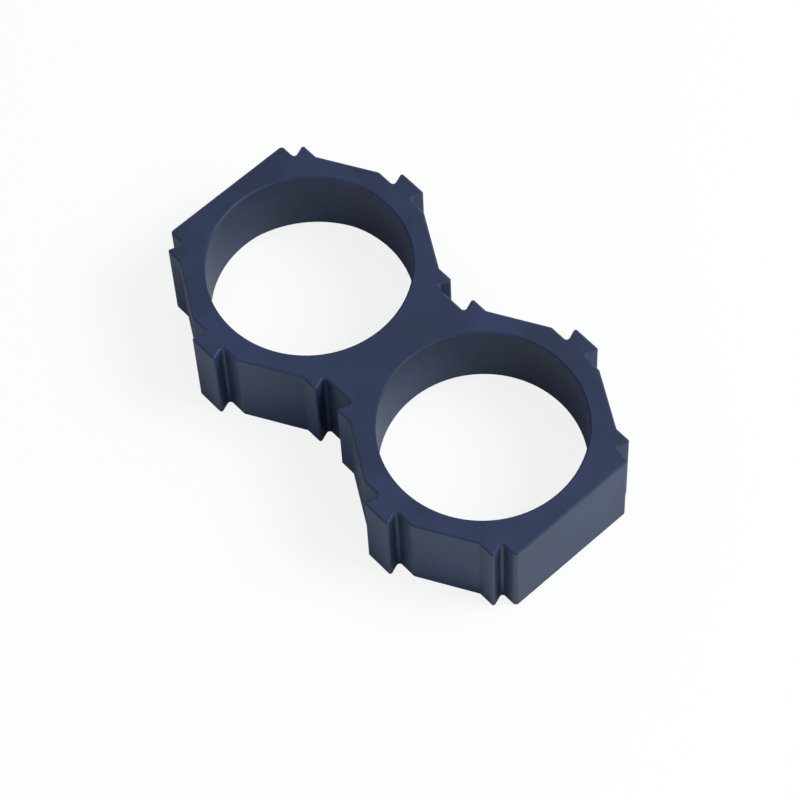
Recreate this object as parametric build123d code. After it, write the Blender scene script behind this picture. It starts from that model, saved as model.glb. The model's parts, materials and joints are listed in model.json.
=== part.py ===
from build123d import *
from math import cos, radians, sin, sqrt, tan
import os

# Cell holder bracket: one moulded strip that holds two round cells standing up.
# Millimetres. +X runs along the strip, +Z is up, the underside lies at Z = 0.
# The strip is two cells of a honeycomb, so strips clip together into a block.

# the cell and its bore
CELL_DIAMETER = 18.0
BORE_CLEARANCE = 0.4
BORE_DIAMETER = CELL_DIAMETER + BORE_CLEARANCE

# the honeycomb
WEB_THICKNESS = 3.93
PITCH = BORE_DIAMETER + WEB_THICKNESS
ROW_PITCH = PITCH * sin(radians(60))
HEIGHT = 9.6
MATING_CLEARANCE = 0.20
END_CLEARANCE = 0.10
SIDE_FACE_OFFSET = (PITCH - MATING_CLEARANCE) / 2
END_FACE_OFFSET = (PITCH - END_CLEARANCE) / 2
STRIP_LENGTH = PITCH + 2 * END_FACE_OFFSET

# the conical lead-in under each bore, which thins the wall to a lip at the underside
LIP_WALL = 0.50
LEAD_IN_ANGLE = 30.0
LEAD_IN_REACH = SIDE_FACE_OFFSET - BORE_DIAMETER / 2 - LIP_WALL
LEAD_IN_DEPTH = LEAD_IN_REACH / tan(radians(LEAD_IN_ANGLE))

# the dovetail key on the two free points of each hexagon, over a wall as thick as the sides
KEY_DEPTH = 1.42
KEY_HEAD_WIDTH = 3.04
KEY_ROOT_WIDTH = 2.00
KEY_SHOULDER = SIDE_FACE_OFFSET
KEY_REACH = KEY_SHOULDER + KEY_DEPTH
FLANK_SLOPE = (KEY_HEAD_WIDTH - KEY_ROOT_WIDTH) / 2 / KEY_DEPTH

# the dovetail slot a neighbour's key drops into, cut from the key and the clearance
FLANK_CLEARANCE = MATING_CLEARANCE * sqrt(1 + FLANK_SLOPE**2)
SLOT_FLOOR = ROW_PITCH - KEY_REACH - MATING_CLEARANCE
SLOT_TOP = ROW_PITCH - KEY_SHOULDER - MATING_CLEARANCE
SLOT_MOUTH_HALF = KEY_ROOT_WIDTH / 2 + FLANK_SLOPE * MATING_CLEARANCE + FLANK_CLEARANCE
SLOT_FLOOR_HALF = SLOT_MOUTH_HALF + FLANK_SLOPE * (SLOT_TOP - SLOT_FLOOR)

# moulded radii, and the break along the flat faces' edges
ROOT_RADIUS = 0.30
TIP_RADIUS = 0.20
CORNER_RADIUS = 0.35
EDGE_BREAK = 0.15

CELL_CENTRES = [(-PITCH / 2, 0), (PITCH / 2, 0)]
SLOT_CENTRES = [-PITCH, 0, PITCH]
NEAR = 0.01


def key_outline(side):
    """Dovetail key, widest at its tip; side is +1 or -1 along Y."""
    return [
        (-KEY_ROOT_WIDTH / 2, side * KEY_SHOULDER),
        (KEY_ROOT_WIDTH / 2, side * KEY_SHOULDER),
        (KEY_HEAD_WIDTH / 2, side * KEY_REACH),
        (-KEY_HEAD_WIDTH / 2, side * KEY_REACH),
    ]


def slot_outline(side):
    """Dovetail slot, widest at its floor, running out past the barbs."""
    return [
        (-SLOT_FLOOR_HALF, side * SLOT_FLOOR),
        (SLOT_FLOOR_HALF, side * SLOT_FLOOR),
        (SLOT_MOUTH_HALF, side * SLOT_TOP),
        (-SLOT_MOUTH_HALF, side * SLOT_TOP),
    ]


def side_face_at(level):
    """How far from its cell's centre line a sloping side face stands at a level of Y."""
    return (SIDE_FACE_OFFSET - level * cos(radians(30))) / sin(radians(30))


def beside_cells(offset):
    """The places along X at one offset to either side of a cell's centre line."""
    return [PITCH / 2 - offset, PITCH / 2 + offset]


def beside_slots(offset):
    """The places along X at one offset from the middle slot and inside the end slots."""
    return [offset, PITCH - offset]


def corners_at(level, places):
    """The plan's corners at a level of Y and at places along X, on both sides of each axis."""
    on_level = plan.vertices().filter_by(lambda v: abs(abs(v.Y) - level) < NEAR)
    return on_level.filter_by(lambda v: min(abs(abs(v.X) - x) for x in places) < NEAR)


# the plan of the strip
with BuildSketch() as plan:
    # two hexagons, their free points cut off level with the shoulders of the keys
    with Locations(*CELL_CENTRES):
        RegularPolygon(radius=SIDE_FACE_OFFSET, side_count=6, major_radius=False, rotation=30)
    Rectangle(2 * STRIP_LENGTH, 2 * KEY_SHOULDER, mode=Mode.INTERSECT)
    # the belt joins them, squares the two ends and stands up as barbs beside each slot
    Rectangle(STRIP_LENGTH, 2 * SLOT_TOP)
    for side in (1, -1):
        # keys on the hexagon points
        for x, y in CELL_CENTRES:
            with BuildLine(Location((x, y))):
                Polyline(*key_outline(side), close=True)
            make_face()
        # one whole slot at the middle, half a slot at each end
        for x in SLOT_CENTRES:
            with BuildLine(Location((x, 0))):
                Polyline(*slot_outline(side), close=True)
            make_face(mode=Mode.SUBTRACT)

    # every upright corner is rounded as the mould leaves it
    fillet(corners_at(KEY_SHOULDER, beside_cells(KEY_ROOT_WIDTH / 2)), ROOT_RADIUS)
    fillet(corners_at(KEY_SHOULDER, beside_cells(side_face_at(KEY_SHOULDER))), ROOT_RADIUS)
    fillet(corners_at(SLOT_TOP, beside_cells(side_face_at(SLOT_TOP))), ROOT_RADIUS)
    fillet(corners_at(SLOT_FLOOR, beside_slots(SLOT_FLOOR_HALF)), ROOT_RADIUS)
    fillet(corners_at(SLOT_FLOOR, [STRIP_LENGTH / 2]), CORNER_RADIUS)
    fillet(corners_at(SLOT_TOP, beside_slots(SLOT_MOUTH_HALF)), TIP_RADIUS)
    fillet(corners_at(KEY_REACH, beside_cells(KEY_HEAD_WIDTH / 2)), TIP_RADIUS)

with BuildPart() as bracket:
    add(plan.sketch)
    extrude(amount=HEIGHT)
    # plain through bores, opened below by a conical lead-in for the cell
    with Locations(*CELL_CENTRES):
        Hole(radius=BORE_DIAMETER / 2, depth=2 * HEIGHT)
    with Locations(*[(x, y, LEAD_IN_DEPTH / 2) for x, y in CELL_CENTRES]):
        Cone(
            bottom_radius=BORE_DIAMETER / 2 + LEAD_IN_REACH,
            top_radius=BORE_DIAMETER / 2,
            height=LEAD_IN_DEPTH,
            mode=Mode.SUBTRACT,
        )
    # a light break all the way round the top and bottom faces
    top_edges = bracket.edges().group_by(Axis.Z)[-1]
    bottom_edges = bracket.edges().group_by(Axis.Z)[0]
    chamfer(top_edges + bottom_edges, EDGE_BREAK)

cell_bracket = bracket.part

os.makedirs("parts", exist_ok=True)
export_step(cell_bracket, "parts/cell_bracket.step")
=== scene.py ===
import json
import math

import bpy
from mathutils import Matrix, Vector


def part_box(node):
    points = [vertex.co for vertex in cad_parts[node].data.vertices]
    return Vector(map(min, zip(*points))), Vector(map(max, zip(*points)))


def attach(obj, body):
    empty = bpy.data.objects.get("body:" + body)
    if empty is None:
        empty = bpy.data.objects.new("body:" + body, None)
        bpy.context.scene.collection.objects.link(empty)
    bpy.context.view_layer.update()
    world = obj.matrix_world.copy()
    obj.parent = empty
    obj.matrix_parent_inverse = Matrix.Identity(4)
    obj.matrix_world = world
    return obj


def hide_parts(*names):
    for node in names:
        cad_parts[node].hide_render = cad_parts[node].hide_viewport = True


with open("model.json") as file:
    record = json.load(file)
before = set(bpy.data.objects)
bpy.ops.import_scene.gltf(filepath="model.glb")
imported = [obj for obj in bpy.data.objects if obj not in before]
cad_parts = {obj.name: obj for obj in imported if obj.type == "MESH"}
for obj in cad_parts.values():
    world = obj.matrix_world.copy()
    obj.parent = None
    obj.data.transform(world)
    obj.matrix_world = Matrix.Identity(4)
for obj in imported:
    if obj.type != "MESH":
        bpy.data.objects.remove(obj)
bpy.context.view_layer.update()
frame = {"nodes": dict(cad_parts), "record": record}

MM = 0.001
mounts = {mount["name"]: mount for mount in frame["record"]["mounts"]}

# the part's driving sizes, all read from the frame
BORE_RADIUS = mounts["bore_right"]["dims"]["r_mm"] * MM
LOW, HIGH = (Vector(corner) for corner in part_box("cell_bracket"))
TOP = HIGH.z

# shading of the strip
WELD_DISTANCE = 0.002 * MM
SMOOTH_ANGLE = math.radians(35)

# the floor lies just below the strip, and this share of it is plain white to the camera
FLOOR_GAP = 0.02 * MM
FLOOR_SIZE = 3.0
FLOOR_WHITE_SHARE = 0.85


# ---------------------------------------------------------------- small tools

def linear(hex_colour):
    """An sRGB hex colour as the linear RGBA that Blender's sockets take."""
    channels = [int(hex_colour[i:i + 2], 16) / 255 for i in (1, 3, 5)]
    return [c / 12.92 if c <= 0.04045 else ((c + 0.055) / 1.055) ** 2.4 for c in channels] + [1.0]


def add_node(material, kind, settings=None, links=None):
    """Adds one node; settings are attributes or socket values, links feed its sockets."""
    node = material.node_tree.nodes.new(kind)
    for name, value in (settings or {}).items():
        if hasattr(node, name):
            setattr(node, name, value)
        else:
            node.inputs[name].default_value = value
    for name, source in (links or {}).items():
        material.node_tree.links.new(source, node.inputs[name])
    return node


def deselect_all():
    for thing in bpy.context.selected_objects:
        thing.select_set(False)


def make_active(thing):
    deselect_all()
    thing.select_set(True)
    bpy.context.view_layer.objects.active = thing


# ---------------------------------------------------------------- material

def injection_moulded_abs():
    """Injection-moulded ABS, dark slate navy, from a lightly spark-eroded mould.

    The eroded mould leaves a satin skin: a broad soft sheen, a fine grain that only shows
    where light grazes it, and slow clouding where the melt cooled unevenly.
    """
    material = bpy.data.materials.new("injection_moulded_abs")
    material.use_nodes = True
    tree = material.node_tree
    tree.nodes.clear()
    place = add_node(material, "ShaderNodeTexCoord").outputs["Object"]

    # clouding of the melt, patches about 6 mm across
    cloud = add_node(material, "ShaderNodeTexNoise",
                     {"Scale": 1 / (6 * MM), "Detail": 3.0, "Roughness": 0.55}, {"Vector": place})
    tint = add_node(material, "ShaderNodeValToRGB", links={"Fac": cloud.outputs["Fac"]})
    tint.color_ramp.elements[0].position = 0.38
    tint.color_ramp.elements[0].color = linear("#242F4B")
    tint.color_ramp.elements[1].position = 0.62
    tint.color_ramp.elements[1].color = linear("#2A3757")

    # rub marks from handling: short, pale and sparse, about 1 mm long
    slant = add_node(material, "ShaderNodeMapping", {"Rotation": (0, 0, math.radians(35))},
                     {"Vector": place})
    slant.inputs["Scale"].default_value = (1.0, 2.6, 1.0)
    rub = add_node(material, "ShaderNodeTexNoise",
                   {"Scale": 1 / (1.6 * MM), "Detail": 4.0, "Roughness": 0.7},
                   {"Vector": slant.outputs["Vector"]})
    marks = add_node(material, "ShaderNodeMapRange", links={"Value": rub.outputs["Fac"]})
    marks.inputs["From Min"].default_value = 0.68
    marks.inputs["From Max"].default_value = 0.82
    marks.inputs["To Max"].default_value = 0.5
    skin = add_node(material, "ShaderNodeMix", {"data_type": "RGBA"},
                    {0: marks.outputs["Result"], 6: tint.outputs["Color"]})
    skin.inputs[7].default_value = linear("#56618A")

    # eroded grain, real pits about 0.05 mm, drawn at 0.15 mm so that they show at all
    grain = add_node(material, "ShaderNodeTexNoise",
                     {"Scale": 1 / (0.15 * MM), "Detail": 2.0, "Roughness": 0.6}, {"Vector": place})
    relief = add_node(material, "ShaderNodeBump",
                      {"Strength": 0.25, "Distance": 0.01 * MM}, {"Height": grain.outputs["Fac"]})

    shader = add_node(material, "ShaderNodeBsdfPrincipled",
                      {"IOR": 1.54, "Roughness": 0.45, "Specular IOR Level": 0.38},
                      {"Base Color": skin.outputs[2], "Normal": relief.outputs["Normal"]})
    add_node(material, "ShaderNodeOutputMaterial", links={"Surface": shader.outputs["BSDF"]})
    return material


# ---------------------------------------------------------------- the bracket

def moulded_strip():
    """The visible skin of the moulded strip, welded from the frame's solid and shaded smooth."""
    source = frame["nodes"]["cell_bracket"]
    strip = source.copy()
    strip.data = source.data.copy()
    strip.name = "moulded_strip"
    strip.parent = None
    bpy.context.collection.objects.link(strip)
    make_active(strip)
    bpy.ops.object.mode_set(mode="EDIT")
    bpy.ops.mesh.select_all(action="SELECT")
    bpy.ops.mesh.remove_doubles(threshold=WELD_DISTANCE)
    bpy.ops.object.mode_set(mode="OBJECT")
    # the weld blurs the normals that came with the mesh, so they are worked out afresh
    bpy.ops.mesh.customdata_custom_splitnormals_clear()
    bpy.ops.object.shade_smooth_by_angle(angle=SMOOTH_ANGLE)
    # the flat faces and the edge break keep their own normals; only the rounded corners blend
    bpy.ops.object.modifier_add(type="WEIGHTED_NORMAL")
    strip.modifiers[-1].keep_sharp = True
    bpy.ops.object.modifier_apply(modifier=strip.modifiers[-1].name)
    return strip


# ---------------------------------------------------------------- floor, light, camera

def studio_floor():
    """A plain pale floor that turns white to the camera and keeps the strip's shadow."""
    deselect_all()
    bpy.ops.mesh.primitive_plane_add(size=FLOOR_SIZE, location=(0, 0, LOW.z - FLOOR_GAP))
    floor = bpy.context.active_object
    floor.name = "studio_floor"
    material = bpy.data.materials.new("white_studio_paper")
    material.use_nodes = True
    material.node_tree.nodes.clear()
    path = add_node(material, "ShaderNodeLightPath")
    colour = add_node(material, "ShaderNodeMix", {"data_type": "RGBA"},
                      {0: path.outputs["Is Camera Ray"]})
    colour.inputs[6].default_value = linear("#E0E8EE")
    colour.inputs[7].default_value = linear("#FAFAFA")
    paper = add_node(material, "ShaderNodeBsdfDiffuse", links={"Color": colour.outputs[2]})
    glow = add_node(material, "ShaderNodeEmission", {"Color": linear("#FFFFFF"), "Strength": 1.0})
    # the camera sees most of the floor as plain white, and a part of the strip's soft shadow
    share = add_node(material, "ShaderNodeMath", {"operation": "MULTIPLY"},
                     {0: path.outputs["Is Camera Ray"]})
    share.inputs[1].default_value = FLOOR_WHITE_SHARE
    mixed = add_node(material, "ShaderNodeMixShader",
                     links={0: share.outputs[0], 1: paper.outputs[0], 2: glow.outputs[0]})
    add_node(material, "ShaderNodeOutputMaterial", links={"Surface": mixed.outputs[0]})
    floor.data.materials.append(material)


def soft_light(name, towards, distance, size, power):
    """A square soft box that looks at the strip from one direction."""
    direction = Vector(towards).normalized()
    lamp = bpy.data.lights.new(name, "AREA")
    lamp.shape = "SQUARE"
    lamp.size = size
    lamp.energy = power
    holder = bpy.data.objects.new(name, lamp)
    holder.matrix_world = (
        Matrix.Translation(direction * distance)
        @ direction.to_track_quat("Z", "Y").to_matrix().to_4x4()
    )
    bpy.context.collection.objects.link(holder)


def studio_light():
    soft_light("key_softbox", (0.492, 0.413, 0.766), 0.6, 0.30, 3.1)
    world = bpy.data.worlds.new("studio")
    world.use_nodes = True
    world.node_tree.nodes["Background"].inputs["Color"].default_value = (0.94, 1.0, 1.07, 1)
    world.node_tree.nodes["Background"].inputs["Strength"].default_value = 0.36
    bpy.context.scene.world = world


def studio_camera():
    """Looks down at 60 degrees past the free right-hand end, through a long lens."""
    azimuth = math.radians(50.49)
    elevation = math.radians(60.36)
    roll = math.radians(-3.55)
    distance = 32.97 * BORE_RADIUS
    shift_right = 0.051 * BORE_RADIUS
    shift_down = 0.534 * BORE_RADIUS
    back = Vector((math.sin(azimuth) * math.cos(elevation),
                   -math.cos(azimuth) * math.cos(elevation),
                   math.sin(elevation)))
    level_right = (-back).cross(Vector((0, 0, 1))).normalized()
    level_up = level_right.cross(-back)
    right = level_right * math.cos(roll) + level_up * math.sin(roll)
    up = level_up * math.cos(roll) - level_right * math.sin(roll)
    eye = Vector((0, 0, TOP)) + back * distance + right * shift_right - up * shift_down
    lens = bpy.data.cameras.new("camera")
    lens.lens = 156.96
    lens.sensor_width = 36
    lens.clip_start = 0.01
    holder = bpy.data.objects.new("camera", lens)
    turn = Matrix((right, up, back)).transposed().to_4x4()
    holder.matrix_world = Matrix.Translation(eye) @ turn
    bpy.context.collection.objects.link(holder)
    bpy.context.scene.camera = holder


abs_plastic = injection_moulded_abs()
strip = moulded_strip()
strip.data.materials.clear()
strip.data.materials.append(abs_plastic)
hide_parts("cell_bracket")
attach(strip, "root")

studio_floor()
studio_light()
studio_camera()
bpy.context.scene.view_settings.view_transform = "Standard"
